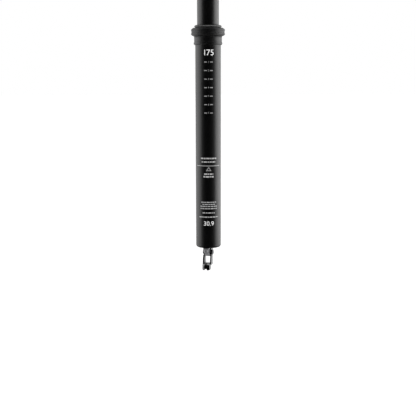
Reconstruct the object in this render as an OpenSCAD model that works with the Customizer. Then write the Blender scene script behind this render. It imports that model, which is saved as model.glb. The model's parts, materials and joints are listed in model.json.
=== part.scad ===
// Dropper seatpost: a sliding upper post locked by an oil valve, opened by a cable lever under the foot.
// Millimetres. The origin is on the post's axis at the collar's lower face, where the frame's seat tube ends.
// +Z runs up the post, +Y points forwards along the saddle rails, +X is the viewer's right from behind.

/* [Lower tube] */
// Outside diameter of the lower tube, the seat tube size
tube_d = 30.9; // [27.2:0.1:34.9]
// Wall of the lower tube
tube_wall = 1.4; // [1.2:0.05:1.9]
// Wall of the lower tube at its threaded foot
foot_wall = 2.9; // [2.6:0.1:3.6]
// Rounding of the outer edge of the foot
foot_round = 2.1; // [1:0.1:2.4]
// Height of the foot plug above the tube's end
foot_recess = 1.2; // [0.6:0.1:3]
// Length of the foot plug
plug_len = 16; // [15:0.5:24]

/* [Upper post] */
// Distance that the upper post drops
travel = 175; // [100:5:200]
// Length of the upper post left below the collar at full height
overlap = 50.3; // [46:0.1:90]
// Radial space between the tube's bore and the upper post
guide_gap = 0.95; // [0.8:0.05:1.2]
// Wall of the upper post
post_wall = 1.5; // [1.4:0.1:2]
// Length of the lower bushing
lower_bush_len = 14; // [8:0.5:18]
// Length of the upper bushing below the collar
upper_bush_below = 6; // [3:0.5:8]
// Diameter of the guide pins
pin_key_d = 2.2; // [1.8:0.1:2.3]
// Length of the guide pins
pin_key_len = 10; // [6:0.5:12]
// Number of guide pins
pin_key_n = 3; // [2:1:4]

/* [Collar] */
// Height of the collar
collar_h = 21.2; // [20:0.1:28]
// Length of the tube inside the collar
thread_len = 13.5; // [10:0.5:14.5]
// Step of the tube's thread below its outside
thread_step = 0.2; // [0.1:0.05:0.3]
// Wall of the collar's skirt
skirt_wall = 1.5; // [1.2:0.1:3]
// Step of the low lip beyond the skirt
lip_step = 0.5; // [0.2:0.1:1]
// Height of the low lip
lip_h = 2.4; // [1.2:0.1:3]
// Step of the grip band beyond the skirt
band_step = 3.65; // [2:0.05:6]
// Height of the grip band's lower edge
band_z = 10.1; // [6:0.1:11]
// Depth of the grip band's waist
waist_depth = 0.45; // [0.2:0.05:0.8]
// Height of the wiper above the collar
wiper_h = 1.9; // [1.6:0.1:4]
// Radial width of the wiper above the collar
wiper_w = 3.3; // [2.4:0.1:3.8]

/* [Cartridge] */
// Radial space for gas around the oil cylinder
gas_gap = 2.1; // [1.5:0.1:2.4]
// Wall of the oil cylinder
cart_wall = 1; // [0.8:0.1:1.5]
// Diameter of the fixed piston rod
rod_d = 8; // [7:0.1:9]
// Diameter of the valve rod
valve_d = 3; // [2:0.1:3.4]
// Length of the piston
piston_len = 12; // [11:0.5:14]
// Length of the valve cage
cage_len = 10; // [8.5:0.5:11]
// Length of the floating piston
float_len = 10; // [8:0.5:14]
// Wire of the valve spring
spring_wire = 0.7; // [0.5:0.05:0.8]
// Coils of the valve spring
spring_turns = 4.5; // [3:0.5:5]

/* [Cable hanger] */
// Turn of the hanger about the post
clock = -18; // [-60:1:60]
// Space between the hanger's legs
leg_gap = 7.1; // [7.1:0.1:8]
// Thickness of each leg
leg_t = 1.7; // [1.3:0.1:2]
// Extra thickness of the left leg below its boss
calf_t = 0.6; // [0.2:0.1:0.8]
// Drop of the window's lower edge below the foot plug
window_drop = 22; // [19:0.1:28]
// Thickness of the crossbar
bar_t = 1.8; // [1.2:0.1:3]
// Diameter of the pivot screw
pin_d = 3; // [2.5:0.1:3.4]
// Drop of the pivot screw below the foot plug
pin_drop = 8; // [7.2:0.1:9.5]
// Distance of the pivot screw from the valve rod's axis
pin_back = 2.6; // [2:0.1:3]
// Diameter of the pivot bosses
eye_d = 6; // [5:0.1:7.6]
// Height of the plain pivot boss
eye_t = 0.4; // [0.2:0.1:1.4]
// Diameter of the boss under the screw head
seat_boss_d = 4.4; // [4:0.1:6]
// Height of the boss under the screw head
seat_boss_t = 0.7; // [0.2:0.1:1.4]
// Diameter of the pivot screw's head
screw_head_d = 6.4; // [5:0.1:7]
// Height of the pivot screw's head
screw_head_t = 0.7; // [0.6:0.1:2]
// Distance from the pivot screw to the cable line
cable_arm = 4.8; // [4.6:0.1:6]
// Width of the housing stop
stop_w = 10.4; // [9:0.1:10.6]
// Shift of the housing stop towards the left leg
stop_shift = 0.4; // [0:0.1:0.6]
// Depth of the stop's square cheek in front of the cable line
stop_front = 3.4; // [3.2:0.1:4.4]
// Length of the housing stop
stop_len = 6.2; // [5:0.1:12]
// Bore for the end of the cable housing
ferrule_d = 5.6; // [4.6:0.1:6]
// Width of the housing stop's open slot
stop_slot = 3.2; // [2:0.1:3.4]
// Width of the cable slot
cable_slot = 1.8; // [1.4:0.1:2.2]

/* [Release cam] */
// Width of the release cam
cam_w = 6.1; // [5:0.1:6.5]
// Radius of the nose under the valve rod
nose_r = 3; // [2.6:0.1:3.4]
// Rise of the cable pocket above the pivot screw
pocket_rise = 2.2; // [1:0.1:2.6]
// Diameter of the cable pocket
pocket_d = 4.6; // [4:0.1:4.8]

/* [Saddle clamp] */
// Height of the tilt axis above the upper post
head_h = 24; // [22:0.5:34]
// Radius of the rocker under the rail cradle
rocker_r = 14; // [12.5:0.1:15]
// Half the width of the head
head_half = 14; // [13.5:0.1:15]
// Distance between the saddle rails
rail_span = 44; // [42:0.5:48]
// Diameter of the saddle rails
rail_d = 7; // [6.5:0.1:8]
// Length of the rail cradle
rail_grip = 36; // [30:1:44]
// Distance of each clamp bolt beyond the side of the upper post
bolt_out = 7.9; // [7.4:0.1:11]
// Diameter of the clamp bolts
bolt_d = 5; // [4:0.1:5]
// Height of the barrel nuts above the tilt axis
nut_z = 4.6; // [4.4:0.1:6]
// Diameter of the barrel nuts
nut_d = 8; // [7.5:0.1:9]
// Drop of the curved washers below the tilt axis
washer_drop = 13; // [12.5:0.1:16]

/* [Hidden] */
$fn = 96;

// Clearances: running fit, joined pieces, pieces that move past each other, cut beyond a face
run_gap = 0.05;
join_gap = 0.03;
free_gap = 0.3;
cut = 1;

// Radii of the nested tubes
tube_r = tube_d / 2;
bore_r = tube_r - tube_wall;
foot_bore_r = tube_r - foot_wall;
post_r = bore_r - guide_gap;
post_bore_r = post_r - post_wall;
cart_r = post_bore_r - gas_gap;
cyl_r = cart_r - cart_wall;
rod_r = rod_d / 2;
valve_r = valve_d / 2;
valve_gap = 0.2;
valve_hole_r = valve_r + valve_gap;
float_ratio = rod_r * rod_r / (cyl_r * cyl_r);

// Heights of the lower end
bumper_t = 3;
bottom_gap = 2;
stud_len = 6;
rod_socket = 8;
post_bottom = -overlap;
bumper_top = post_bottom - travel - bottom_gap;
plug_top = bumper_top - bumper_t;
plug_bottom = plug_top - plug_len;
tube_bottom = plug_bottom - foot_recess;
rod_bottom = plug_top - rod_socket;
stud_r = 7.9;

// Seals of the tube's ends
o_ring_t = 0.5;
o_ring_z = 2.6;
o_ring_h = 1.4;
plug_groove_t = 0.8;
plug_groove_down = 5;
plug_groove_z = plug_top - plug_groove_down;
plug_groove_h = 1.6;

// Collar outline: bevels, and the grip band's undercut, lips, ramps and waist in turn upwards
tube_thread_r = tube_r - thread_step;
thread_r = tube_thread_r + join_gap;
skirt_r = thread_r + skirt_wall;
lip_r = skirt_r + lip_step;
band_r = skirt_r + band_step;
waist_r = band_r - waist_depth;
edge = 0.3;
bevel_h = 0.5;
lip_bevel = 1.1;
under_in = 1.3;
under_h = 1;
under_rise = 0.8;
lip_flat = 0.85;
ramp_h = 1;
waist_h = 1.9;
band_low = band_z + under_h + under_rise + bevel_h;
waist_z = band_low + lip_flat + ramp_h;
band_high = waist_z + waist_h + ramp_h;
crown_h = 0.2;
crown_w = 3;
groove_h = 1.1;
groove_wall = 0.5;
shoulder_h = 2;
throat_gap = 0.7;
wiper_foot_w = 1.7;
wiper_foot_r = post_r + wiper_foot_w;
groove_r = wiper_foot_r + groove_wall;
wiper_relief = 0.6;
wiper_mouth = 0.9;
wiper_bevel = 0.7;
wiper_slope = 0.9;
wiper_lip_h = 0.8;
wiper_ramp_h = 0.9;
wiper_r = post_r + wiper_w;
wiper_top = collar_h + wiper_h;

// Heights of the upper end
head_gap = 3.6;
post_top = wiper_top + head_gap + travel;
pivot_z = post_top + head_h;
seat_gap = 0.2;
seat_r = rocker_r + seat_gap;

// Guides
bumper_ring = 3.5;
key_out = 0.4;
key_c = post_r + key_out;
key_r = pin_key_d / 2;
key_top = -upper_bush_below - bumper_ring - free_gap;
key_bottom = key_top - pin_key_len;
bush_end = 3;
bush_step = 0.5;
lower_bush_z = post_bottom + bush_end;

// Oil cartridge
clip_up = 0.6;
clip_z = post_bottom + clip_up;
clip_t = 1.2;
clip_step = 0.5;
seal_z = clip_z + clip_t;
seal_len = 12;
spigot_len = 6;
cart_bottom = seal_z + seal_len;
seal_top = cart_bottom + spigot_len;
top_out_gap = 1.5;
piston_z = seal_top + top_out_gap;
piston_top = piston_z + piston_len;
cage_top = piston_top + cage_len;
cage_r = 5.6;
cage_wall = 1.1;
cage_port_r = 1.4;
poppet_r = 3.6;
poppet_t = 2;
tip_r = 1;
tip_len = 2;
tip_hole_r = tip_r + run_gap;
poppet_seat = 1;
throat_r = poppet_r - poppet_seat;
seal_groove_t = 1.4;
ring_h = 2.4;
ring_up = 4;
ring_z = piston_z + ring_up;
rod_seal_up = 3;
rod_seal_z = seal_z + rod_seal_up;
orifice_r = 0.6;
orifice_c = (cage_r + cyl_r - seal_groove_t) / 2;
rod_in_piston = 8;
rod_top = piston_z + rod_in_piston;
end_flange = 4;
end_gap = 4.5;
end_top = post_top - end_gap;
cart_top = end_top - end_flange;
end_z = cart_top - spigot_len;
float_wall = 1;
float_gap = (end_z - cage_top - travel - float_len) / 2;
float_z = cage_top + travel * (1 - float_ratio) + float_gap;
groove_up = 2;
end_ring_z = end_z + groove_up;
float_ring_z = float_z + groove_up;
port_r = 1.2;
port_down = 1.5;
port_z = end_z - port_down;
bleed_r = 1;
clip_w = 1.4;
cavity_gap = 0.6;
cavity_r = cart_r + cavity_gap;
spigot_deep = 18;
fill_r = 3;
fill_deep = 3;
fill_wall = 1;
fill_access_r = fill_r + 1;
fill_down = 1.5;
fill_top = pivot_z - seat_r - fill_down;

// Valve spring: helix from the poppet to the cage's roof
spring_r = 2.5;
spring_low = piston_top + poppet_t + free_gap + spring_wire / 2;
spring_high = cage_top - cage_wall - join_gap - spring_wire / 2;
spring_rings = floor(spring_turns * 8);

// Hanger and cam, measured from the foot plug's lower face
leg_out = leg_gap / 2 + leg_t;
cable_v = -pin_back - cable_arm;
pin_r = pin_d / 2;
screw_seat = leg_out + seat_boss_t;
stop_top = -window_drop - bar_t / 2;
stop_bottom = -window_drop - bar_t - stop_len;
leg_back = 1.3;
leg_hip = 2.4;
leg_front = 5;
leg_neck = 3.4;
leg_foot = 5.6;
hip_drop = 2;
hip_slope = 3;
calf_h = 4;
calf_drop = 4.2;
calf_len = window_drop + bar_t - pin_drop - calf_drop;
ferrule_roof = 1;
ferrule_deep = stop_len - ferrule_roof;
stop_bevel = 0.6;
stop_shoulder = 1.4;
stop_r = stop_w / 2;
web_inset = 0.1;
web_half = stop_r - web_inset;
web_back = 4.2;
web_toe = 2.2;
hub_r = 3.1;
heel_drop = 2.2;
pocket_wall = 1.1;
pocket_wall_r = pocket_d / 2 + pocket_wall;
arm_half = 1.7;
arm_len = norm([cable_arm, pocket_rise]);
arm_rise = atan2(pocket_rise, cable_arm);
tip_gap = 0.02;
tip_z = plug_bottom - pin_drop + nose_r + tip_gap;

// Head: flare of the neck as reach against height, block under the seat, ears
neck_reach = 8;
neck_rise = 13;
neck_flare = [[0.05, 0.31], [0.25, 0.62], [0.62, 0.85], [1, 1]];
neck_points = [for (p = neck_flare) [post_r + p[0] * neck_reach, p[1] * neck_rise - head_h]];
neck_r = post_r + neck_reach;
neck_top = 5;
block_reach = 1.2;
block_top = 6.5;
ear_wall = 2;
ear_step = 1;
ear_root = 4;
ear_slope = 4.5;
ear_top = 7;
ear_open = 0.8;
ear_slot_gap = 0.4;

// Saddle clamp
rail_x = rail_span / 2;
rail_r = rail_d / 2;
clamp_gap = 0.6;
rail_wall = 2.4;
plate_half = 11.5;
plate_low = 6.5;
plate_high = 2.6;
rocker_top = 3;
cap_step = 0.5;
nut_slot_gap = 0.5;
bolt_y = post_r + bolt_out;
bolt_r = bolt_d / 2;
bolt_gap = 0.25;
bolt_hole_r = bolt_r + bolt_gap;
nut_r = nut_d / 2;
washer_r = 5.4;
washer_half = 5.2;
washer_flat = 1.8;
washer_gap = 0.15;
ear_half = 7.5;
slot_gap = 0.9;
slot_half = bolt_r + slot_gap;
bolt_head_r = bolt_d * 0.85;
bolt_head_t = bolt_d;
bolt_head_z = -washer_drop - washer_r + washer_flat;
bolt_socket_r = bolt_d * 0.46;
bolt_end = 2.8;
nut_inset = 0.5;
bar_half = 7;
nut_wall = 1.6;
bar_top = nut_z + nut_r + nut_wall;

// Solid and hollow cylinders between two heights
module bar(r, z0, z1) {
    translate([0, 0, z0]) cylinder(r = r, h = z1 - z0);
}

module tube(r_in, r_out, z0, z1) {
    difference() {
        bar(r_out, z0, z1);
        bar(r_in, z0 - cut, z1 + cut);
    }
}

// Cylinder along X between two ends
module cross_bar(r, x0, x1) {
    translate([x0, 0, 0]) rotate([0, 90, 0]) cylinder(r = r, h = x1 - x0);
}

// Cylinder along Y, centred
module fore_bar(r, len) {
    rotate([90, 0, 0]) cylinder(r = r, h = len, center = true);
}

// Box between two corners
module box(a, b) {
    translate(a) cube(b - a);
}

// Outline in the plane of depth and height, given thickness across
module across(x0, x1) {
    translate([x0, 0, 0]) rotate([90, 0, 90]) linear_extrude(height = x1 - x0) children();
}

module around(n) {
    for (i = [0 : n - 1]) rotate([0, 0, i * 360 / n]) children();
}

// Place under the foot, turned with the hanger
module at_foot() {
    translate([0, 0, plug_bottom]) rotate([0, 0, clock]) children();
}

module at_pin() {
    at_foot() translate([0, -pin_back, -pin_drop]) children();
}

module at_tilt() {
    translate([0, 0, pivot_z]) children();
}

module outer_tube() {
    color([0.08, 0.08, 0.085])
    difference() {
        rotate_extrude() difference() {
            union() {
                translate([0, tube_bottom]) square([tube_r - foot_round, thread_len - tube_bottom]);
                translate([0, tube_bottom + foot_round]) square([tube_r, -tube_bottom - foot_round]);
                translate([0, -cut]) square([tube_thread_r, thread_len + cut]);
                translate([tube_r - foot_round, tube_bottom + foot_round]) circle(foot_round);
            }
            translate([0, plug_top]) square([bore_r, thread_len - plug_top + cut]);
            translate([0, tube_bottom - cut]) square([foot_bore_r, plug_len + foot_recess + 2 * cut]);
            translate([tube_thread_r - o_ring_t, o_ring_z]) square([o_ring_t + cut, o_ring_h]);
            translate([-tube_r, tube_bottom - cut]) square([tube_r, thread_len - tube_bottom + 2 * cut]);
        }
        around(pin_key_n) translate([0, key_c, 0])
            bar(key_r + 2 * run_gap, plug_top + cut, thread_len + cut);
    }
}

module collar_o_ring() {
    color([0.05, 0.05, 0.05])
    tube(tube_thread_r - o_ring_t + join_gap, tube_thread_r, o_ring_z + run_gap, o_ring_z + o_ring_h - run_gap);
}

module collar() {
    color([0.1, 0.1, 0.105])
    difference() {
        rotate_extrude() polygon([
            [0, 0],
            [lip_r - lip_bevel, 0],
            [lip_r, lip_bevel],
            [lip_r, lip_h],
            [skirt_r, lip_h + 2 * lip_step],
            [skirt_r, band_z],
            [band_r - under_in, band_z + under_h],
            [band_r - edge, band_low - bevel_h],
            [band_r, band_low],
            [band_r, band_low + lip_flat],
            [waist_r, waist_z],
            [waist_r, waist_z + waist_h],
            [band_r, band_high],
            [band_r, band_high + lip_flat],
            [band_r - edge, band_high + lip_flat + bevel_h],
            [groove_r + crown_w, collar_h - groove_h - crown_h],
            [groove_r, collar_h - groove_h],
            [groove_r, collar_h],
            [0, collar_h]
        ]);
        bar(thread_r, -cut, thread_len);
        bar(post_r + throat_gap, 0, collar_h);
        bar(wiper_foot_r + join_gap, thread_len + shoulder_h, collar_h + cut);
    }
}

module wiper_seal() {
    color([0.13, 0.13, 0.13])
    rotate_extrude() polygon([
        [post_r + wiper_relief, thread_len + shoulder_h],
        [wiper_foot_r, thread_len + shoulder_h],
        [wiper_foot_r, collar_h],
        [wiper_r, collar_h],
        [wiper_r, wiper_top - wiper_bevel],
        [wiper_r - wiper_slope, wiper_top],
        [post_r + wiper_mouth, wiper_top],
        [post_r + run_gap, wiper_top - wiper_bevel],
        [post_r + run_gap, wiper_top - wiper_bevel - wiper_lip_h],
        [post_r + wiper_relief, wiper_top - wiper_bevel - wiper_lip_h - wiper_ramp_h]
    ]);
}

module upper_bushing() {
    color([0.35, 0.3, 0.22])
    tube(post_r + run_gap, bore_r - join_gap, -upper_bush_below, thread_len - run_gap);
}

module top_out_bumper() {
    color([0.15, 0.15, 0.15])
    tube(post_r + 2 * run_gap, bore_r - run_gap, -upper_bush_below - bumper_ring, -upper_bush_below);
}

module foot_plug() {
    color([0.3, 0.3, 0.31])
    difference() {
        bar(foot_bore_r - join_gap, plug_bottom, plug_top);
        bar(valve_hole_r, plug_bottom - cut, plug_top + cut);
        bar(rod_r + join_gap, rod_bottom, plug_top + cut);
        bar(stud_r + join_gap, plug_bottom - cut, plug_bottom + stud_len);
        tube(foot_bore_r - plug_groove_t, foot_bore_r + cut, plug_groove_z, plug_groove_z + plug_groove_h);
    }
}

module foot_o_ring() {
    color([0.05, 0.05, 0.05])
    tube(foot_bore_r - plug_groove_t + join_gap, foot_bore_r - join_gap, plug_groove_z + run_gap,
        plug_groove_z + plug_groove_h - run_gap);
}

module bottom_bumper() {
    color([0.15, 0.15, 0.15])
    tube(rod_r + free_gap, foot_bore_r - cut, plug_top, bumper_top);
}

module piston_rod() {
    color([0.75, 0.75, 0.76])
    tube(valve_hole_r, rod_r, rod_bottom, rod_top);
}

module piston() {
    color([0.6, 0.6, 0.62])
    difference() {
        bar(cyl_r - run_gap, piston_z, piston_top);
        bar(rod_r + join_gap, piston_z - cut, rod_top);
        bar(throat_r, rod_top - cut, piston_top + cut);
        tube(cyl_r - seal_groove_t, cyl_r + cut, ring_z, ring_z + ring_h);
        around(4) translate([0, orifice_c, 0]) bar(orifice_r, piston_z - cut, piston_top + cut);
    }
}

module piston_ring() {
    color([0.85, 0.83, 0.75])
    tube(cyl_r - seal_groove_t + join_gap, cyl_r - run_gap, ring_z + run_gap, ring_z + ring_h - run_gap);
}

module valve_cage() {
    color([0.65, 0.65, 0.67])
    difference() {
        bar(cage_r, piston_top, cage_top);
        bar(cage_r - cage_wall, piston_top - cut, cage_top - cage_wall);
        bar(tip_hole_r, piston_top, cage_top + cut);
        around(4) translate([0, 0, piston_top + cage_len / 2]) rotate([90, 0, 0])
            cylinder(r = cage_port_r, h = cage_r + cut);
    }
}

// One tube along a helix, eight rings of six sides to each coil
function helix_point(i) = [
    spring_r * cos(i * 45),
    spring_r * sin(i * 45),
    spring_low + (spring_high - spring_low) * i / spring_rings
];

function ring_point(i, k) = helix_point(i) + spring_wire / 2 * [
    cos(k * 60) * cos(i * 45),
    cos(k * 60) * sin(i * 45),
    sin(k * 60)
];

// Least space between coils: the nearest two points of the helix a coil or so apart, less one wire
function coil_gap(i, j) = norm(helix_point(i) - helix_point(j)) - spring_wire;
spring_gap = min([for (i = [0 : spring_rings - 6]) min([for (j = [i + 6 : spring_rings]) coil_gap(i, j)])]);
echo(spring_gap = spring_gap);

module valve_spring() {
    points = [for (i = [0 : spring_rings]) for (k = [0 : 5]) ring_point(i, k)];
    last = spring_rings * 6;
    sides = [for (i = [0 : spring_rings - 1]) for (k = [0 : 5]) for (t = [0, 1])
        t == 0
        ? [i * 6 + k, i * 6 + 6 + (k + 1) % 6, i * 6 + 6 + k]
        : [i * 6 + k, i * 6 + (k + 1) % 6, i * 6 + 6 + (k + 1) % 6]];
    ends = [for (k = [1 : 4]) for (t = [0, 1])
        t == 0 ? [0, k + 1, k] : [last, last + k, last + k + 1]];
    color([0.7, 0.7, 0.72]) polyhedron(points, concat(sides, ends));
}

module valve_rod() {
    color([0.75, 0.75, 0.76]) union() {
        bar(valve_r, tip_z, piston_top + poppet_t);
        bar(poppet_r, piston_top + run_gap, piston_top + poppet_t);
        bar(tip_r, piston_top, piston_top + poppet_t + tip_len);
    }
}

// Outline of one hanger leg: depth against height under the foot plug
module leg_outline() {
    polygon([
        [-leg_front, cut],
        [leg_hip, cut],
        [leg_hip, -pin_drop - hip_drop],
        [leg_back, -pin_drop - hip_drop - hip_slope],
        [leg_back, -window_drop - bar_t],
        [-leg_foot, -window_drop - bar_t],
        [-leg_front, -window_drop + calf_h],
        [-leg_neck, -pin_drop - hip_slope],
        [-leg_neck, -pin_drop],
        [-leg_front, -pin_drop + calf_h]
    ]);
}

// The part of a leg's outline below its boss
module calf_outline() {
    intersection() {
        leg_outline();
        translate([-leg_foot, -window_drop - bar_t]) square([leg_foot + leg_hip, calf_len]);
    }
}

// Side outline of the web that carries the housing stop under the crossbar
module stop_web_outline() {
    polygon([
        [cable_v, stop_top],
        [leg_back - cut, stop_top],
        [cable_v + web_back, -window_drop - bar_t - cut],
        [cable_v + web_toe, stop_bottom + stop_bevel],
        [cable_v, stop_bottom + stop_bevel]
    ]);
}

// Housing stop about the cable line: a round plug with its right cheek squared
module stop_block() {
    rotate_extrude() polygon([
        [0, stop_bottom],
        [stop_r - stop_bevel, stop_bottom],
        [stop_r, stop_bottom + stop_bevel],
        [stop_r, stop_top - stop_shoulder + bar_t / 4],
        [stop_r - stop_shoulder, stop_top + bar_t / 4],
        [0, stop_top + bar_t / 4]
    ]);
    box([0, -stop_front, stop_bottom + stop_bevel], [stop_r, cut, stop_top]);
}

module cable_bracket() {
    color([0.42, 0.42, 0.43])
    at_foot() difference() {
        union() {
            bar(stud_r, 0, stud_len);
            across(-leg_out, -leg_gap / 2) leg_outline();
            across(-leg_out - calf_t, -leg_gap / 2) calf_outline();
            across(leg_gap / 2, leg_out) leg_outline();
            translate([0, -pin_back, -pin_drop]) {
                cross_bar(eye_d / 2, -leg_out - eye_t, -leg_gap / 2);
                cross_bar(eye_d / 2, leg_gap / 2, leg_out);
                cross_bar(seat_boss_d / 2, leg_gap / 2, screw_seat);
            }
            box([-leg_gap / 2 - cut, -leg_front, -window_drop - bar_t],
                [leg_gap / 2 + cut, leg_back - free_gap, -window_drop]);
            across(-web_half - stop_shift, web_half - stop_shift) stop_web_outline();
            translate([-stop_shift, cable_v, 0]) stop_block();
        }
        bar(valve_hole_r, -cut, stud_len + cut);
        translate([0, -pin_back, -pin_drop])
            cross_bar(pin_r + join_gap, -leg_out - eye_t - cut, screw_seat + cut);
        translate([0, cable_v, 0]) bar(ferrule_d / 2, stop_bottom - cut, stop_bottom + ferrule_deep);
        box([-stop_slot / 2, cable_v - stop_w, stop_bottom - cut],
            [stop_slot / 2, cable_v, stop_bottom + ferrule_deep]);
        box([-cable_slot / 2, cable_v - stop_w, stop_bottom - cut],
            [cable_slot / 2, cable_v + cable_slot / 2, -window_drop + cut]);
    }
}

// Shoulder screw through both legs, with a hex socket in its head
module pivot_screw() {
    color([0.16, 0.16, 0.17])
    at_pin() difference() {
        union() {
            cross_bar(pin_r, -leg_out - eye_t, screw_seat + screw_head_t / 2);
            cross_bar(screw_head_d / 2, screw_seat, screw_seat + screw_head_t);
        }
        translate([screw_seat + screw_head_t / 2, 0, 0]) rotate([0, 90, 0])
            cylinder(r = pin_r, h = screw_head_t, $fn = 6);
    }
}

// Side outline of the cam around the pivot screw: hub with a heel, nose under the valve rod, cable pocket
module cam_outline() {
    circle(hub_r);
    translate([0, -heel_drop]) circle(hub_r);
    translate([pin_back, 0]) circle(nose_r);
    translate([-cable_arm, pocket_rise]) circle(pocket_wall_r);
    rotate(180 - arm_rise) translate([0, -arm_half]) square([arm_len, 2 * arm_half]);
}

module release_cam() {
    color([0.62, 0.62, 0.63])
    at_pin() difference() {
        across(-cam_w / 2, cam_w / 2) cam_outline();
        cross_bar(pin_r + run_gap, -cam_w, cam_w);
        translate([0, -cable_arm, pocket_rise]) cross_bar(pocket_d / 2, -cam_w, cam_w);
        box([-cable_slot / 2, -cable_arm - pocket_wall_r - cut, pocket_rise - pocket_wall_r - cut],
            [cable_slot / 2, -cable_arm + cable_slot / 2, pocket_rise + pocket_d / 4]);
    }
}

module stanchion() {
    color([0.08, 0.08, 0.085])
    difference() {
        tube(post_bore_r, post_r, post_bottom, post_top);
        tube(post_r - bush_step, post_r + cut, lower_bush_z, lower_bush_z + lower_bush_len);
        tube(post_bore_r - cut, post_bore_r + clip_step, clip_z, clip_z + clip_t);
        around(pin_key_n) translate([0, key_c, 0]) bar(key_r + join_gap, key_bottom, key_top);
    }
}

module lower_bushing() {
    color([0.35, 0.3, 0.22])
    tube(post_r - bush_step + join_gap, bore_r - run_gap, lower_bush_z + run_gap,
        lower_bush_z + lower_bush_len - run_gap);
}

module guide_pins() {
    color([0.78, 0.6, 0.25])
    around(pin_key_n) translate([0, key_c, 0]) bar(key_r, key_bottom + run_gap, key_top - run_gap);
}

module cartridge_tube() {
    color([0.66, 0.67, 0.7])
    difference() {
        tube(cyl_r, cart_r, cart_bottom, cart_top);
        around(4) translate([0, 0, port_z]) rotate([90, 0, 0]) cylinder(r = port_r, h = cart_r + cut);
    }
}

module seal_head() {
    color([0.3, 0.3, 0.31])
    difference() {
        union() {
            bar(post_bore_r - join_gap, seal_z, cart_bottom);
            bar(cyl_r - join_gap, cart_bottom, seal_top);
        }
        bar(rod_r + run_gap, seal_z - cut, seal_top + cut);
        bar(rod_r + seal_groove_t, rod_seal_z, rod_seal_z + ring_h);
    }
}

module rod_seal() {
    color([0.12, 0.12, 0.12])
    tube(rod_r + run_gap, rod_r + seal_groove_t - join_gap, rod_seal_z + run_gap,
        rod_seal_z + ring_h - run_gap);
}

module seal_head_clip() {
    color([0.5, 0.5, 0.52])
    tube(post_bore_r - clip_w, post_bore_r + clip_step - join_gap, clip_z + run_gap, clip_z + clip_t - run_gap);
}

module end_plug() {
    color([0.3, 0.3, 0.31])
    difference() {
        union() {
            bar(cyl_r - join_gap, end_z, cart_top);
            bar(cart_r, cart_top, end_top);
        }
        bar(fill_r + join_gap, cart_top, end_top + cut);
        bar(bleed_r, end_z - cut, end_top);
        tube(cyl_r - seal_groove_t, cyl_r + cut, end_ring_z, end_ring_z + ring_h);
    }
}

module end_plug_o_ring() {
    color([0.05, 0.05, 0.05])
    tube(cyl_r - seal_groove_t + join_gap, cyl_r - join_gap, end_ring_z + run_gap,
        end_ring_z + ring_h - run_gap);
}

module fill_valve() {
    color([0.78, 0.65, 0.35])
    difference() {
        bar(fill_r, cart_top, fill_top);
        bar(fill_r - fill_wall, fill_top - fill_deep, fill_top + cut);
    }
}

module floating_piston() {
    color([0.6, 0.6, 0.62])
    difference() {
        bar(cyl_r - run_gap, float_z, float_z + float_len);
        bar(cyl_r - seal_groove_t - float_wall, float_z + float_len / 2, float_z + float_len + cut);
        tube(cyl_r - seal_groove_t, cyl_r + cut, float_ring_z, float_ring_z + ring_h);
    }
}

module floating_piston_seal() {
    color([0.12, 0.12, 0.12])
    tube(cyl_r - seal_groove_t + join_gap, cyl_r - run_gap, float_ring_z + run_gap,
        float_ring_z + ring_h - run_gap);
}

// Side outline of one ear, from the tilt axis: round over the curved washer, open below
module ear_outline() {
    difference() {
        union() {
            polygon([
                [0, -seat_r - ear_root],
                [post_r, -washer_drop - ear_slope],
                [bolt_y - washer_r - ear_step, -washer_drop],
                [bolt_y, -washer_drop + washer_r],
                [bolt_y - washer_r, -washer_drop + ear_top],
                [0, -washer_drop + ear_top]
            ]);
            translate([bolt_y, -washer_drop]) circle(washer_r + ear_wall);
        }
        translate([bolt_y - washer_r - ear_step, -washer_drop - head_h]) square([head_h, head_h - ear_open]);
    }
}

module ear_cuts() {
    translate([0, bolt_y, -washer_drop]) {
        cross_bar(washer_r + washer_gap, -head_half, head_half);
        box([-bolt_r - ear_slot_gap, -slot_half, 0],
            [bolt_r + ear_slot_gap, slot_half, washer_r + ear_wall + cut]);
    }
}

module head() {
    color([0.1, 0.1, 0.105])
    difference() {
        union() {
            tube(cavity_r, post_bore_r - join_gap, post_top - spigot_deep, post_top + cut);
            at_tilt() intersection() {
                rotate_extrude() polygon(concat(
                    [[0, -head_h], [post_r, -head_h]],
                    neck_points,
                    [[neck_r, -neck_top], [0, -neck_top]]
                ));
                box([-head_half, -post_r - block_reach, -head_h],
                    [head_half, post_r + block_reach, -block_top]);
            }
            at_tilt() difference() {
                union() {
                    across(-ear_half, ear_half) ear_outline();
                    mirror([0, 1, 0]) across(-ear_half, ear_half) ear_outline();
                }
                ear_cuts();
                mirror([0, 1, 0]) ear_cuts();
            }
        }
        at_tilt() cross_bar(seat_r, -head_half - cut, head_half + cut);
        bar(cavity_r, post_top - spigot_deep - cut, end_top);
        bar(fill_r + free_gap, end_top - cut, pivot_z);
    }
}

// One rail holder: a round bar along the rail, kept above or below the rail's split
module rail_holder(z0, z1) {
    intersection() {
        fore_bar(rail_r + rail_wall, rail_grip);
        box([-rail_r - rail_wall, -rail_grip, z0], [rail_r + rail_wall, rail_grip, z1]);
    }
}

module rail_cuts() {
    translate([rail_x, 0, 0]) fore_bar(rail_r, rail_grip + 2 * cut);
    translate([-rail_x, 0, 0]) fore_bar(rail_r, rail_grip + 2 * cut);
}

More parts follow.
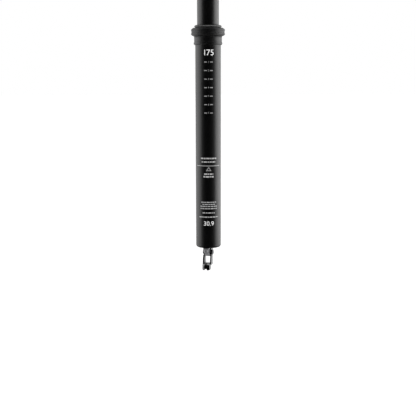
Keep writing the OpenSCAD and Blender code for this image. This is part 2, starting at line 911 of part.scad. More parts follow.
module lower_clamp() {
    color([0.1, 0.1, 0.105])
    at_tilt() difference() {
        union() {
            intersection() {
                cross_bar(rocker_r, -head_half + free_gap, head_half - free_gap);
                box([-head_half, -rocker_r, -rocker_r], [head_half, rocker_r, -rocker_top]);
            }
            box([-rail_x, -plate_half, -plate_low], [rail_x, plate_half, -plate_high]);
            translate([rail_x, 0, 0]) rail_holder(-rail_r - rail_wall, -clamp_gap);
            translate([-rail_x, 0, 0]) rail_holder(-rail_r - rail_wall, -clamp_gap);
        }
        rail_cuts();
        bar(fill_access_r, -rocker_r - cut, 0);
    }
}

module nut_cuts() {
    translate([0, bolt_y, nut_z]) cross_bar(nut_r + run_gap, -bar_half - cut, bar_half + cut);
    translate([0, bolt_y, 0]) box([-bolt_hole_r, -slot_half - nut_slot_gap, -rocker_r],
        [bolt_hole_r, slot_half + nut_slot_gap, bar_top + cut]);
}

// Side outline of the bar between the two nuts
module nut_bar_outline() {
    translate([bolt_y, nut_z]) circle(nut_r + nut_wall);
    translate([-bolt_y, nut_z]) circle(nut_r + nut_wall);
    polygon([
        [-bolt_y, nut_z - nut_r],
        [bolt_y, nut_z - nut_r],
        [bolt_y, nut_z + nut_r],
        [plate_half, nut_z + nut_r - cap_step],
        [-plate_half, nut_z + nut_r - cap_step],
        [-bolt_y, nut_z + nut_r]
    ]);
}

module upper_clamp() {
    color([0.1, 0.1, 0.105])
    at_tilt() difference() {
        union() {
            across(-bar_half, bar_half) nut_bar_outline();
            box([-rail_x, -plate_half, plate_high], [rail_x, plate_half, rail_r + rail_wall - cap_step]);
            translate([rail_x, 0, 0]) rail_holder(clamp_gap, rail_r + rail_wall);
            translate([-rail_x, 0, 0]) rail_holder(clamp_gap, rail_r + rail_wall);
        }
        rail_cuts();
        nut_cuts();
        mirror([0, 1, 0]) nut_cuts();
    }
}

module barrel_nut() {
    at_tilt() difference() {
        translate([0, bolt_y, nut_z]) cross_bar(nut_r, -bar_half + nut_inset, bar_half - nut_inset);
        translate([0, bolt_y, 0]) bar(bolt_hole_r, 0, bar_top + cut);
    }
}

module clamp_bolt() {
    at_tilt() translate([0, bolt_y, 0]) difference() {
        union() {
            bar(bolt_r, bolt_head_z, bar_top + bolt_end);
            bar(bolt_head_r, bolt_head_z - bolt_head_t, bolt_head_z);
        }
        translate([0, 0, bolt_head_z - bolt_head_t - cut])
            cylinder(r = bolt_socket_r, h = bolt_head_t / 2 + cut, $fn = 6);
    }
}

// Curved washer: a short bar across the ear, flat below for the bolt head
module curved_washer() {
    at_tilt() translate([0, bolt_y, -washer_drop]) difference() {
        cross_bar(washer_r, -washer_half, washer_half);
        box([-head_half, -head_half, -washer_r - cut], [head_half, head_half, washer_flat - washer_r]);
        bar(bolt_r + join_gap, -head_half, head_half);
    }
}

module front_bolt() {
    color([0.2, 0.2, 0.21]) clamp_bolt();
}

module rear_bolt() {
    color([0.2, 0.2, 0.21]) mirror([0, 1, 0]) clamp_bolt();
}

module front_washer() {
    color([0.45, 0.45, 0.47]) curved_washer();
}

module rear_washer() {
    color([0.45, 0.45, 0.47]) mirror([0, 1, 0]) curved_washer();
}

module front_nut() {
    color([0.45, 0.45, 0.47]) barrel_nut();
}

module rear_nut() {
    color([0.45, 0.45, 0.47]) mirror([0, 1, 0]) barrel_nut();
}

outer_tube();
collar();
wiper_seal();
collar_o_ring();
upper_bushing();
top_out_bumper();
foot_plug();
foot_o_ring();
bottom_bumper();
piston_rod();
piston();
piston_ring();
valve_cage();
valve_spring();
cable_bracket();
pivot_screw();
release_cam();
valve_rod();
stanchion();
head();
lower_bushing();
guide_pins();
cartridge_tube();
seal_head();
rod_seal();
seal_head_clip();
end_plug();
end_plug_o_ring();
fill_valve();
floating_piston();
floating_piston_seal();
lower_clamp();
upper_clamp();
front_nut();
rear_nut();
front_bolt();
front_washer();
rear_bolt();
rear_washer();
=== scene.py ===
import json
import math

import bmesh
import bpy
from mathutils import Matrix, Vector


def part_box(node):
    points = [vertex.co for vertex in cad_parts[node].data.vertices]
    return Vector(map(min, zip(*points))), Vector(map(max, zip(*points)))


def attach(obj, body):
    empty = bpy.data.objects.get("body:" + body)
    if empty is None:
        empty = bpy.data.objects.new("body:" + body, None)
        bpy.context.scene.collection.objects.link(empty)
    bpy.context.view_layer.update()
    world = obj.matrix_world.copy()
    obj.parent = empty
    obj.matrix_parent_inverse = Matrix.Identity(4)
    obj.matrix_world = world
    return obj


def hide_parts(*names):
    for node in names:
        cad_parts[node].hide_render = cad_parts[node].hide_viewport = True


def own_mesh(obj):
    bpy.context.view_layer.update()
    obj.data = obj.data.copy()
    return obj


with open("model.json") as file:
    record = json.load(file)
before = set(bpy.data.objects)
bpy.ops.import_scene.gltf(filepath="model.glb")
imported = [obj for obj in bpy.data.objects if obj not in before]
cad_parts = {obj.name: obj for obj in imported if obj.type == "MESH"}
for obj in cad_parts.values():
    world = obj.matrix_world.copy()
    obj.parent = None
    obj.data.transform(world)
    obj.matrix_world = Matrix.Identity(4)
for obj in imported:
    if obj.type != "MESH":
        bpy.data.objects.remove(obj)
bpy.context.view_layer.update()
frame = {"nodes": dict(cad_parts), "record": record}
nodes = frame["nodes"]
MM = 0.001

# Places taken from the frame, in metres
tube_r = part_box("outer_tube")[1].x
wiper_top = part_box("wiper_seal")[1].z


# Camera at the photograph's viewing angle

CAMERA_PLACE = (-0.0005, -0.958, -0.045)
CAMERA_DOWN = math.radians(9.14)
CAMERA_ROLL = math.radians(-0.14)
LENS = 67.33
SENSOR_W = 36


def add_camera():
    data = bpy.data.cameras.new("photo_camera")
    data.lens = LENS
    data.sensor_width = SENSOR_W
    camera = bpy.data.objects.new("photo_camera", data)
    aim = Matrix.Rotation(math.pi / 2 - CAMERA_DOWN, 4, "X")
    roll = Matrix.Rotation(CAMERA_ROLL, 4, "Z")
    camera.matrix_world = Matrix.Translation(CAMERA_PLACE) @ aim @ roll
    bpy.context.collection.objects.link(camera)
    bpy.context.scene.camera = camera


# Shader helpers

def new_material(name):
    material = bpy.data.materials.new(name)
    material.use_nodes = True
    tree = material.node_tree
    tree.nodes.clear()
    output = tree.nodes.new("ShaderNodeOutputMaterial")
    shader = tree.nodes.new("ShaderNodeBsdfPrincipled")
    tree.links.new(shader.outputs["BSDF"], output.inputs["Surface"])
    return material, tree, shader


def new_group(name, inputs, outputs):
    """A shader group; inputs are (name, default), outputs are (name, socket type)."""
    group = bpy.data.node_groups.new(name, "ShaderNodeTree")
    for label, default in inputs:
        socket = group.interface.new_socket(label, in_out="INPUT", socket_type="NodeSocketFloat")
        socket.default_value = default
    for label, kind in outputs:
        group.interface.new_socket(label, in_out="OUTPUT", socket_type=kind)
    entry = group.nodes.new("NodeGroupInput")
    leave = group.nodes.new("NodeGroupOutput")
    return group, entry, leave


def math_node(tree, operation, a, b):
    node = tree.nodes.new("ShaderNodeMath")
    node.operation = operation
    for socket, value in zip(node.inputs, (a, b)):
        if isinstance(value, (int, float)):
            socket.default_value = value
        else:
            tree.links.new(value, socket)
    return node.outputs[0]


def place_group(tree, group, **values):
    node = tree.nodes.new("ShaderNodeGroup")
    node.node_tree = group
    for label, value in values.items():
        node.inputs[label].default_value = value
    return node


# Sockets of a Mix node for colours
MIX_SHARE = 0
MIX_FIRST = 6
MIX_SECOND = 7
MIX_RESULT = 2


def mix_colors(tree, share, first, second):
    """Colour that goes from first to second as share goes from 0 to 1; each is a colour or a socket."""
    node = tree.nodes.new("ShaderNodeMix")
    node.data_type = "RGBA"
    tree.links.new(share, node.inputs[MIX_SHARE])
    for place, color in ((MIX_FIRST, first), (MIX_SECOND, second)):
        if isinstance(color, tuple):
            node.inputs[place].default_value = (*color, 1)
        else:
            tree.links.new(color, node.inputs[place])
    return node.outputs[MIX_RESULT]


GRAIN_SCALE = 900.0
FINE_DETAIL = 3
COARSE_DETAIL = 4
COARSE_SCALE = 45


def make_grain_group():
    """Fine surface grain: a value about 0 that varies over the surface, and a height for bump."""
    tree, entry, leave = new_group(
        "fine_grain",
        [("Scale", GRAIN_SCALE), ("Stretch", 1.0)],
        [("Shift", "NodeSocketFloat"), ("Height", "NodeSocketFloat")],
    )
    coords = tree.nodes.new("ShaderNodeTexCoord")
    squeeze = tree.nodes.new("ShaderNodeCombineXYZ")
    for label in ("X", "Y"):
        squeeze.inputs[label].default_value = 1
    tree.links.new(entry.outputs["Stretch"], squeeze.inputs["Z"])
    scaled = tree.nodes.new("ShaderNodeVectorMath")
    scaled.operation = "MULTIPLY"
    tree.links.new(coords.outputs["Object"], scaled.inputs[0])
    tree.links.new(squeeze.outputs["Vector"], scaled.inputs[1])
    fine = tree.nodes.new("ShaderNodeTexNoise")
    fine.inputs["Detail"].default_value = FINE_DETAIL
    tree.links.new(scaled.outputs["Vector"], fine.inputs["Vector"])
    tree.links.new(entry.outputs["Scale"], fine.inputs["Scale"])
    coarse = tree.nodes.new("ShaderNodeTexNoise")
    coarse.inputs["Detail"].default_value = COARSE_DETAIL
    coarse.inputs["Scale"].default_value = COARSE_SCALE
    tree.links.new(coords.outputs["Object"], coarse.inputs["Vector"])
    # each noise is about a half on average
    both = math_node(tree, "ADD", fine.outputs["Fac"], coarse.outputs["Fac"])
    shift = math_node(tree, "SUBTRACT", both, 1.0)
    tree.links.new(shift, leave.inputs["Shift"])
    tree.links.new(fine.outputs["Fac"], leave.inputs["Height"])
    return tree


EDGE_R = 0.15 * MM
EDGE_GAIN = 1.5
EDGE_SAMPLES = 4
CREVICE_REACH = 3 * MM
CREVICE_SAMPLES = 8


def make_edge_group():
    """Edge mask, 1 where the surface turns sharply; a normal that rounds such edges; depth in a crevice."""
    group, entry, leave = new_group(
        "edge_light",
        [("Radius", EDGE_R), ("Gain", EDGE_GAIN)],
        [("Mask", "NodeSocketFloat"), ("Normal", "NodeSocketVector"), ("Crevice", "NodeSocketFloat")],
    )
    rounded = group.nodes.new("ShaderNodeBevel")
    rounded.samples = EDGE_SAMPLES
    group.links.new(entry.outputs["Radius"], rounded.inputs["Radius"])
    surface = group.nodes.new("ShaderNodeNewGeometry")
    turn = group.nodes.new("ShaderNodeVectorMath")
    turn.operation = "DOT_PRODUCT"
    group.links.new(rounded.outputs["Normal"], turn.inputs[0])
    group.links.new(surface.outputs["Normal"], turn.inputs[1])
    away = math_node(group, "SUBTRACT", 1.0, turn.outputs["Value"])
    strong = group.nodes.new("ShaderNodeMath")
    strong.operation = "MULTIPLY"
    strong.use_clamp = True
    group.links.new(away, strong.inputs[0])
    group.links.new(entry.outputs["Gain"], strong.inputs[1])
    group.links.new(strong.outputs[0], leave.inputs["Mask"])
    group.links.new(rounded.outputs["Normal"], leave.inputs["Normal"])
    open_air = group.nodes.new("ShaderNodeAmbientOcclusion")
    open_air.samples = CREVICE_SAMPLES
    open_air.inputs["Distance"].default_value = CREVICE_REACH
    crevice = math_node(group, "SUBTRACT", 1.0, open_air.outputs["AO"])
    group.links.new(crevice, leave.inputs["Crevice"])
    return group


grain_group = make_grain_group()
edge_group = make_edge_group()


COAT_ROUGH = 0.15
BUMP_DEPTH = 0.2 * MM


def finish_material(name, color, edge_color, roughness, metallic=0.0, scale=GRAIN_SCALE, stretch=1.0,
                    spread=0.12, tint=0.25, bump=0.02, edge_gain=EDGE_GAIN, edge_r=EDGE_R, crevice=0.2,
                    specular=0.5, coat=0.0):
    """Satin finish: colour, roughness and bump vary with the grain, edges lighten, crevices are duller."""
    material, tree, shader = new_material(name)
    grain = place_group(tree, grain_group, Scale=scale, Stretch=stretch)
    edges = place_group(tree, edge_group, Gain=edge_gain, Radius=edge_r)
    dark = tuple(c * (1 - tint) for c in color)
    light = tuple(c * (1 + tint) for c in color)
    middle = math_node(tree, "ADD", grain.outputs["Shift"], 0.5)
    shade = mix_colors(tree, middle, dark, light)
    worn = mix_colors(tree, edges.outputs["Mask"], shade, edge_color)
    tree.links.new(worn, shader.inputs["Base Color"])
    wide = math_node(tree, "MULTIPLY", grain.outputs["Shift"], spread)
    dull = math_node(tree, "MULTIPLY", edges.outputs["Crevice"], crevice)
    even = math_node(tree, "ADD", dull, roughness)
    rough = math_node(tree, "ADD", wide, even)
    tree.links.new(rough, shader.inputs["Roughness"])
    height = tree.nodes.new("ShaderNodeBump")
    height.inputs["Strength"].default_value = bump
    height.inputs["Distance"].default_value = BUMP_DEPTH
    tree.links.new(grain.outputs["Height"], height.inputs["Height"])
    tree.links.new(edges.outputs["Normal"], height.inputs["Normal"])
    tree.links.new(height.outputs["Normal"], shader.inputs["Normal"])
    shader.inputs["Metallic"].default_value = metallic
    shader.inputs["Specular IOR Level"].default_value = specular
    shader.inputs["Coat Weight"].default_value = coat
    shader.inputs["Coat Roughness"].default_value = COAT_ROUGH
    return material


# Finishes of the part, by the record's slots

FINISHES = {
    "black_anodised_tube": dict(color=(0.0015, 0.0015, 0.0016), edge_color=(0.01, 0.01, 0.01),
                                roughness=0.42, stretch=6.0, spread=0.06, bump=0.01),
    "black_anodised_post": dict(color=(0.0015, 0.0015, 0.0016), edge_color=(0.01, 0.01, 0.01),
                                roughness=0.38, stretch=0.2, spread=0.05, bump=0.008),
    "black_collar": dict(color=(0.002, 0.002, 0.0022), edge_color=(0.02, 0.02, 0.02),
                         roughness=0.44, scale=1400.0, spread=0.15, bump=0.05, edge_gain=0.0,
                         edge_r=0.25 * MM, crevice=1.2),
    "black_forging": dict(color=(0.009, 0.009, 0.0095), edge_color=(0.06, 0.06, 0.06),
                          roughness=0.42, scale=1600.0, spread=0.15, bump=0.06),
    "black_rubber": dict(color=(0.06, 0.06, 0.06), edge_color=(0.08, 0.08, 0.08),
                         roughness=0.6, scale=1200.0, spread=0.1, bump=0.05, specular=0.4),
    "grey_rubber": dict(color=(0.15, 0.15, 0.15), edge_color=(0.18, 0.18, 0.18),
                        roughness=0.6, scale=1200.0, spread=0.1, bump=0.05, specular=0.4),
    "bushing_polymer": dict(color=(0.25, 0.2, 0.13), edge_color=(0.3, 0.25, 0.17),
                            roughness=0.45, spread=0.1),
    "grey_alloy": dict(color=(0.38, 0.38, 0.39), edge_color=(0.6, 0.6, 0.6),
                       roughness=0.42, metallic=0.35, stretch=4.0),
    "dark_alloy": dict(color=(0.1, 0.1, 0.105), edge_color=(0.25, 0.25, 0.25),
                       roughness=0.4, metallic=0.6),
    "hanger_steel": dict(color=(0.075, 0.075, 0.077), edge_color=(0.15, 0.15, 0.15),
                         roughness=0.28, metallic=1.0, scale=1800.0, bump=0.03, coat=1.0),
    "polished_steel": dict(color=(0.1, 0.1, 0.103), edge_color=(0.2, 0.2, 0.2),
                           roughness=0.35, metallic=1.0, spread=0.05, bump=0.005),
    "black_steel": dict(color=(0.03, 0.03, 0.032), edge_color=(0.12, 0.12, 0.12),
                        roughness=0.36, metallic=0.5, scale=1500.0),
    "brass": dict(color=(0.72, 0.5, 0.2), edge_color=(0.85, 0.65, 0.35), roughness=0.3, metallic=1.0),
    "white_polymer": dict(color=(0.75, 0.73, 0.66), edge_color=(0.8, 0.78, 0.7), roughness=0.45),
}
slot_material = {slot: finish_material(slot, **finish) for slot, finish in FINISHES.items()}

MASK_BLUR = 0.08 * MM


def above(tree, z):
    """1 on the surface higher than z, 0 below."""
    coords = tree.nodes.new("ShaderNodeTexCoord")
    split = tree.nodes.new("ShaderNodeSeparateXYZ")
    tree.links.new(coords.outputs["Object"], split.inputs["Vector"])
    ramp = tree.nodes.new("ShaderNodeMapRange")
    ramp.inputs["From Min"].default_value = z - MASK_BLUR
    ramp.inputs["From Max"].default_value = z + MASK_BLUR
    tree.links.new(split.outputs["Z"], ramp.inputs["Value"])
    return ramp.outputs["Result"]


WIPER_LIP = 1.1 * MM
# Black of the wiper's upper lip: its own rubber's black together with painted shade of the contact shadow
# at the stanchion
LIP_SHADE_BLACK = (0.004, 0.004, 0.004)


def shade_wiper_lip(material):
    """The wiper's upper lip is painted black, partly its own black rubber and partly painted shade of the
    contact shadow against the stanchion; its face keeps the grey.
    """
    tree = material.node_tree
    base = tree.nodes["Principled BSDF"].inputs["Base Color"]
    face = base.links[0].from_socket
    lip = above(tree, wiper_top - WIPER_LIP)
    tree.links.new(mix_colors(tree, lip, face, LIP_SHADE_BLACK), base)


BAND_FROM = 10 * MM
GRIP_ROUGH = 0.09
GRIP_SCALE = 420
GRIP_DETAIL = 2


def roughen_band(material):
    """The collar's grip band is duller than its skirt, in patches."""
    tree = material.node_tree
    rough = tree.nodes["Principled BSDF"].inputs["Roughness"]
    patches = tree.nodes.new("ShaderNodeTexNoise")
    patches.inputs["Scale"].default_value = GRIP_SCALE
    patches.inputs["Detail"].default_value = GRIP_DETAIL
    coords = tree.nodes.new("ShaderNodeTexCoord")
    tree.links.new(coords.outputs["Object"], patches.inputs["Vector"])
    # the patches are about a half on average, so twice the value is spread over them
    grip = math_node(tree, "MULTIPLY", above(tree, BAND_FROM), 2 * GRIP_ROUGH)
    patchy = math_node(tree, "MULTIPLY", grip, patches.outputs["Fac"])
    tree.links.new(math_node(tree, "ADD", rough.links[0].from_socket, patchy), rough)


def dress_nodes():
    """Each CAD node gets the finish of its record slot."""
    for part in frame["record"]["subparts"]:
        mesh = nodes[part["node"]].data
        mesh.materials.clear()
        mesh.materials.append(slot_material[part["material_slot"]])


# Printed marks: flat outlines bent round the tube, facing the viewer at rest

PRINT_OUT = 0.03 * MM
PRINT_IN = -0.03 * MM
BEND_STEP = 0.6 * MM
SAME_POINT = 1e-7


def bar(shape, s0, s1, z0, z1):
    """Upright rectangle in the unrolled tube: s runs round the tube, z along it."""
    corners = [shape.verts.new((s, 0, z)) for s, z in ((s0, z0), (s1, z0), (s1, z1), (s0, z1))]
    shape.faces.new(corners)


def ring_outline(shape, outer, inner):
    """Closed band between two outlines with the same number of corners."""
    rim = [shape.verts.new((s, 0, z)) for s, z in outer]
    hole = [shape.verts.new((s, 0, z)) for s, z in inner]
    count = len(rim)
    for i in range(count):
        j = (i + 1) % count
        shape.faces.new((rim[i], rim[j], hole[j], hole[i]))


# A 1 is narrow, so the figure after it moves closer: change of the step, in fortieths of it
ONE_SPACING = -6
# Height of a figure as a share of its text size
FIGURE_SHARE = 0.7


def digits(shape, text, s, z, height):
    """Plain figures centred at s and z."""
    curve = bpy.data.curves.new("figures", "FONT")
    curve.body = text
    for place, figure in enumerate(text[:-1]):
        if figure == "1":
            curve.body_format[place].kerning = ONE_SPACING
    curve.align_x = "CENTER"
    curve.align_y = "CENTER"
    curve.size = height / FIGURE_SHARE
    holder = bpy.data.objects.new("figures", curve)
    bpy.context.collection.objects.link(holder)
    graph = bpy.context.evaluated_depsgraph_get()
    flat = holder.evaluated_get(graph).to_mesh()
    corners = [shape.verts.new((s + v.co.x, 0, z + v.co.y)) for v in flat.vertices]
    for polygon in flat.polygons:
        shape.faces.new([corners[i] for i in polygon.vertices])
    bpy.data.objects.remove(holder)


def wrap_on_tube(name, shape, material):
    """Cuts the flat outlines into narrow strips, gives them thickness and bends them round the tube."""
    reach = max(abs(v.co.x) for v in shape.verts)
    count = int(reach / BEND_STEP) + 1
    for k in range(-count, count + 1):
        everything = shape.verts[:] + shape.edges[:] + shape.faces[:]
        bmesh.ops.bisect_plane(shape, geom=everything, plane_co=(k * BEND_STEP, 0, 0), plane_no=(1, 0, 0))
    bmesh.ops.remove_doubles(shape, verts=shape.verts[:], dist=SAME_POINT)
    for v in shape.verts:
        v.co.y = PRINT_IN
    raised = bmesh.ops.extrude_face_region(shape, geom=shape.faces[:])
    for v in raised["geom"]:
        if isinstance(v, bmesh.types.BMVert):
            v.co.y = PRINT_OUT
    for v in shape.verts:
        turn, out = v.co.x / tube_r, tube_r + v.co.y
        v.co.x = out * math.sin(turn)
        v.co.y = -out * math.cos(turn)
    bmesh.ops.recalc_face_normals(shape, faces=shape.faces[:])
    mesh = bpy.data.meshes.new(name)
    shape.to_mesh(mesh)
    shape.free()
    mesh.materials.append(material)
    mark = bpy.data.objects.new(name, mesh)
    bpy.context.collection.objects.link(mark)
    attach(mark, "lower_post")


# The marks sit a little to the right of the tube's middle
MARK_SHIFT = 0.45 * MM
TICK_FIRST_Z = -20.5 * MM
TICK_STEP = 10.07 * MM
TICK_COUNT = 7
TICK_FROM = 1.95 * MM
TICK_TO = 5.3 * MM
TICK_T = 1 * MM
FIGURE_H = 2.1 * MM


def add_depth_scale(ink):
    """Rows of a number between two short dashes."""
    shape = bmesh.new()
    for row in range(TICK_COUNT):
        z = TICK_FIRST_Z - row * TICK_STEP
        for side in (-1, 1):
            a = MARK_SHIFT + side * TICK_FROM
            b = MARK_SHIFT + side * TICK_TO
            bar(shape, min(a, b), max(a, b), z - TICK_T / 2, z + TICK_T / 2)
        digits(shape, str(row + 1), MARK_SHIFT, z, FIGURE_H)
    wrap_on_tube("depth_scale", shape, ink)


LINE_Z = -144.9 * MM
LINE_T = 0.85 * MM
LINE_TURN = math.radians(61)
ARROW_TOP = 1.1 * MM
ARROW_H = 5.1 * MM
ARROW_HALF = 3.3 * MM
ARROW_T = 0.75 * MM


def add_insertion_mark(ink):
    """Line at the least insertion, with a plain triangle under it that points to the line."""
    shape = bmesh.new()
    bar(shape, -LINE_TURN * tube_r, LINE_TURN * tube_r, LINE_Z - LINE_T / 2, LINE_Z + LINE_T / 2)
    top = LINE_Z - ARROW_TOP
    low = top - ARROW_H
    slope = ARROW_T * math.hypot(ARROW_H, ARROW_HALF) / ARROW_HALF
    side = (ARROW_H - slope - ARROW_T) * ARROW_HALF / ARROW_H
    outer = [(0, top), (-ARROW_HALF, low), (ARROW_HALF, low)]
    inner = [(0, top - slope), (-side, low + ARROW_T), (side, low + ARROW_T)]
    ring_outline(shape, [(MARK_SHIFT + s, z) for s, z in outer], [(MARK_SHIFT + s, z) for s, z in inner])
    wrap_on_tube("insertion_mark", shape, ink)


# Rows of plain dashes, in millimetres: height on the tube, half width, thickness
DASH_ROWS = [
    (-135.8, 10.0, 1.6), (-140.1, 9.0, 1.5), (-154.9, 5.7, 1.7), (-158.2, 6.5, 1.8),
    (-189.7, 9.7, 1.0), (-192.3, 8.0, 1.0), (-194.8, 11.0, 1.0), (-197.6, 10.6, 1.1),
    (-202.9, 7.8, 1.2), (-208.1, 12.6, 1.3),
]
DASH_LENGTHS = (3.4, 2.2, 4.1, 1.6, 2.8)
DASH_GAP = 0.7


def add_dash_rows(ink):
    """Dashes of several lengths fill each row, in turn."""
    shape = bmesh.new()
    pick = 0
    for z, half, thick in DASH_ROWS:
        at = -half
        while at < half:
            end = min(at + DASH_LENGTHS[pick % len(DASH_LENGTHS)], half)
            s0, s1 = MARK_SHIFT + at * MM, MARK_SHIFT + end * MM
            bar(shape, s0, s1, (z - thick / 2) * MM, (z + thick / 2) * MM)
            at = end + DASH_GAP
            pick += 1
    wrap_on_tube("dash_rows", shape, ink)


# Figures, their height on the tube and their size
TRAVEL_FIGURE = ("175", -9.7 * MM, 6.8 * MM)
WIDTH_FIGURE = ("30.9", -216.4 * MM, 5.4 * MM)


def add_figures(ink):
    """Plain numbers: the travel under the collar, the tube's width at the foot."""
    shape = bmesh.new()
    for text, z, height in (TRAVEL_FIGURE, WIDTH_FIGURE):
        digits(shape, text, MARK_SHIFT, z, height)
    wrap_on_tube("figures", shape, ink)


INK_GRAIN = 2500.0
INK_ROUGH = 0.6


def make_ink(name, dark, light):
    """Dull print whose grey varies with a very fine grain."""
    material, tree, shader = new_material(name)
    grain = place_group(tree, grain_group, Scale=INK_GRAIN)
    middle = math_node(tree, "ADD", grain.outputs["Shift"], 0.5)
    shade = mix_colors(tree, middle, (dark, dark, dark), (light, light, light))
    tree.links.new(shade, shader.inputs["Base Color"])
    shader.inputs["Roughness"].default_value = INK_ROUGH
    return material


# Valve spring: a helix between the poppet and the cage's roof

SPRING_WIRE = 0.7 * MM
SPRING_TURNS = 4.5
TURN_STEPS = 24
WIRE_SIDES = 10


def helix_mesh(name, coil_r, low, high):
    """Round wire along a helix about the post's axis, closed at both ends."""
    count = int(SPRING_TURNS * TURN_STEPS)
    wire_r = SPRING_WIRE / 2
    points, faces = [], []
    for i in range(count + 1):
        turn = math.tau * i / TURN_STEPS
        rise = low + wire_r + (high - low - SPRING_WIRE) * i / count
        for k in range(WIRE_SIDES):
            around = math.tau * k / WIRE_SIDES
            out = coil_r + wire_r * math.cos(around)
            points.append((out * math.cos(turn), out * math.sin(turn), rise + wire_r * math.sin(around)))
        if i:
            for k in range(WIRE_SIDES):
                a, b = (i - 1) * WIRE_SIDES + k, (i - 1) * WIRE_SIDES + (k + 1) % WIRE_SIDES
                faces.append((a, a + WIRE_SIDES, b + WIRE_SIDES, b))
    faces.append(range(WIRE_SIDES))
    faces.append(range(len(points) - 1, len(points) - 1 - WIRE_SIDES, -1))
    mesh = bpy.data.meshes.new(name)
    mesh.from_pydata(points, [], faces)
    mesh.shade_smooth()
    return mesh


def add_valve_spring():
    """Stands for the CAD spring, as a fixed helix that rides on the lower post."""
    low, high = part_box("valve_spring")
    slot = next(p["material_slot"] for p in frame["record"]["subparts"] if p["node"] == "valve_spring")
    mesh = helix_mesh("coiled_spring", high.x - SPRING_WIRE / 2, low.z, high.z)
    mesh.materials.append(slot_material[slot])
    spring = bpy.data.objects.new("coiled_spring", mesh)
    bpy.context.collection.objects.link(spring)
    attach(spring, "lower_post")
    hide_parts("valve_spring")
    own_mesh(spring)


# Stage: a white room with a pale floor, a soft panel on each side, two wide suns that reflections don't
# show, and dark cards in front and below that only reflections show

FLOOR_Z = -0.5
FLOOR_HALF = 30
FLOOR_SHADE = 0.55
FLOOR_GLOW = 0.68
ROOM_FILL = 0.25
WHITE = (1, 1, 1)
CARD_R = 0.42
CARD_HALF_H = 0.46
FRONT_TURN = math.radians(68)
FRONT_LOW = math.radians(-82)
FRONT_HIGH = math.radians(125)
UNDER_TURN = math.radians(179)
UNDER_LOW = math.radians(-89)
UNDER_HIGH = math.radians(-58)
CARD_STEPS = 24
PANEL_AWAY = 0.7
PANEL_TURN = math.radians(102)
PANEL_W = 0.88
PANEL_H = 0.96
PANEL_Z = 0.05
SUN_SPREAD = math.radians(50)


def seen_directly(tree):
    """1 for what the camera sees, itself or in a mirror or through glass."""
    path = tree.nodes.new("ShaderNodeLightPath")
    seen = math_node(tree, "MAXIMUM", path.outputs["Is Camera Ray"], path.outputs["Is Glossy Ray"])
    return math_node(tree, "MAXIMUM", seen, path.outputs["Is Transmission Ray"])


def stage_object(name, points, faces, material):
    mesh = bpy.data.meshes.new(name)
    mesh.from_pydata(points, [], faces)
    mesh.materials.append(material)
    made = bpy.data.objects.new(name, mesh)
    bpy.context.collection.objects.link(made)
    return made


def add_floor():
    material, tree, shader = new_material("pale_floor")
    shader.inputs["Base Color"].default_value = (FLOOR_SHADE, FLOOR_SHADE, FLOOR_SHADE, 1)
    shader.inputs["Roughness"].default_value = 1
    shader.inputs["Specular IOR Level"].default_value = 0
    shader.inputs["Emission Color"].default_value = (*WHITE, 1)
    glow = math_node(tree, "MULTIPLY", seen_directly(tree), FLOOR_GLOW)
    tree.links.new(glow, shader.inputs["Emission Strength"])
    h = FLOOR_HALF
    corners = [(-h, -h, FLOOR_Z), (h, -h, FLOOR_Z), (h, h, FLOOR_Z), (-h, h, FLOOR_Z)]
    stage_object("floor", corners, [range(4)], material)


def add_dark_card(name, half_turn, low, high):
    """Part of a dome round the seatpost, black and only seen in reflections."""
    material, _, shader = new_material(name)
    shader.inputs["Base Color"].default_value = (0, 0, 0, 1)
    shader.inputs["Specular IOR Level"].default_value = 0
    points, faces = [], []
    row = CARD_STEPS + 1
    for i in range(row):
        rise = low + (high - low) * i / CARD_STEPS
        for j in range(row):
            turn = half_turn * (2 * j / CARD_STEPS - 1)
            points.append((CARD_R * math.cos(rise) * math.sin(turn),
                           -CARD_R * math.cos(rise) * math.cos(turn),
                           CARD_HALF_H * math.sin(rise)))
            if i and j:
                k = i * row + j
                faces.append((k - row - 1, k - row, k, k - 1))
    card = stage_object(name, points, faces, material)
    card.visible_camera = False
    card.visible_diffuse = False
    card.visible_shadow = False
    card.visible_transmission = False


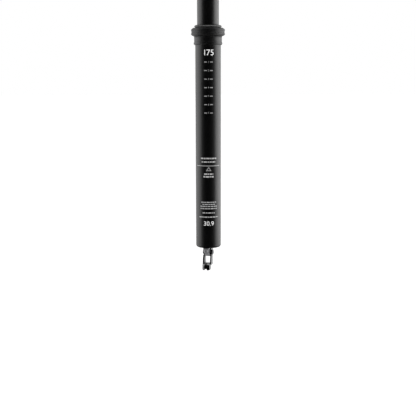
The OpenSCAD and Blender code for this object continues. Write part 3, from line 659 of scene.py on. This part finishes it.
def add_side_panel(name, side, watts):
    """Soft panel beside the seatpost, from below its foot to above its head."""
    data = bpy.data.lights.new(name, "AREA")
    data.shape = "RECTANGLE"
    data.size = PANEL_W
    data.size_y = PANEL_H
    data.energy = watts
    lamp = bpy.data.objects.new(name, data)
    lamp.location = (side * PANEL_AWAY * math.sin(PANEL_TURN), -PANEL_AWAY * math.cos(PANEL_TURN), PANEL_Z)
    inwards = Vector((-lamp.location.x, -lamp.location.y, 0))
    lamp.rotation_euler = inwards.to_track_quat("-Z", "Y").to_euler()
    lamp.visible_camera = False
    bpy.context.collection.objects.link(lamp)


def add_soft_sun(name, strength, tip, lean):
    """Wide sun that no reflection shows; tip turns it from above to the front, lean to one side."""
    data = bpy.data.lights.new(name, "SUN")
    data.energy = strength
    data.angle = SUN_SPREAD
    lamp = bpy.data.objects.new(name, data)
    lamp.rotation_euler = (math.radians(tip), math.radians(lean), 0)
    lamp.visible_glossy = False
    bpy.context.collection.objects.link(lamp)


def set_world():
    world = bpy.data.worlds.new("white_room")
    bpy.context.scene.world = world
    world.use_nodes = True
    tree = world.node_tree
    background = tree.nodes["Background"]
    fill = (ROOM_FILL, ROOM_FILL, ROOM_FILL)
    shade = mix_colors(tree, seen_directly(tree), fill, WHITE)
    tree.links.new(shade, background.inputs["Color"])


add_camera()
# The wiper's upper lip gets its black, which is partly painted shade
shade_wiper_lip(slot_material["grey_rubber"])
roughen_band(slot_material["black_collar"])
dress_nodes()
grey_ink = make_ink("grey_print", dark=0.28, light=0.39)
pale_ink = make_ink("pale_print", dark=0.38, light=0.5)
white_ink = make_ink("white_print", dark=0.85, light=0.95)
add_depth_scale(grey_ink)
add_insertion_mark(grey_ink)
add_dash_rows(pale_ink)
add_figures(white_ink)
add_valve_spring()
add_floor()
add_dark_card("front_card", FRONT_TURN, FRONT_LOW, FRONT_HIGH)
add_dark_card("under_card", UNDER_TURN, UNDER_LOW, UNDER_HIGH)
add_side_panel("right_panel", side=1, watts=7.0)
add_side_panel("left_panel", side=-1, watts=3.35)
add_soft_sun("top_light", strength=0.8, tip=20, lean=15)
add_soft_sun("front_light", strength=1.6, tip=72, lean=0)
set_world()
bpy.context.scene.view_settings.view_transform = "Standard"
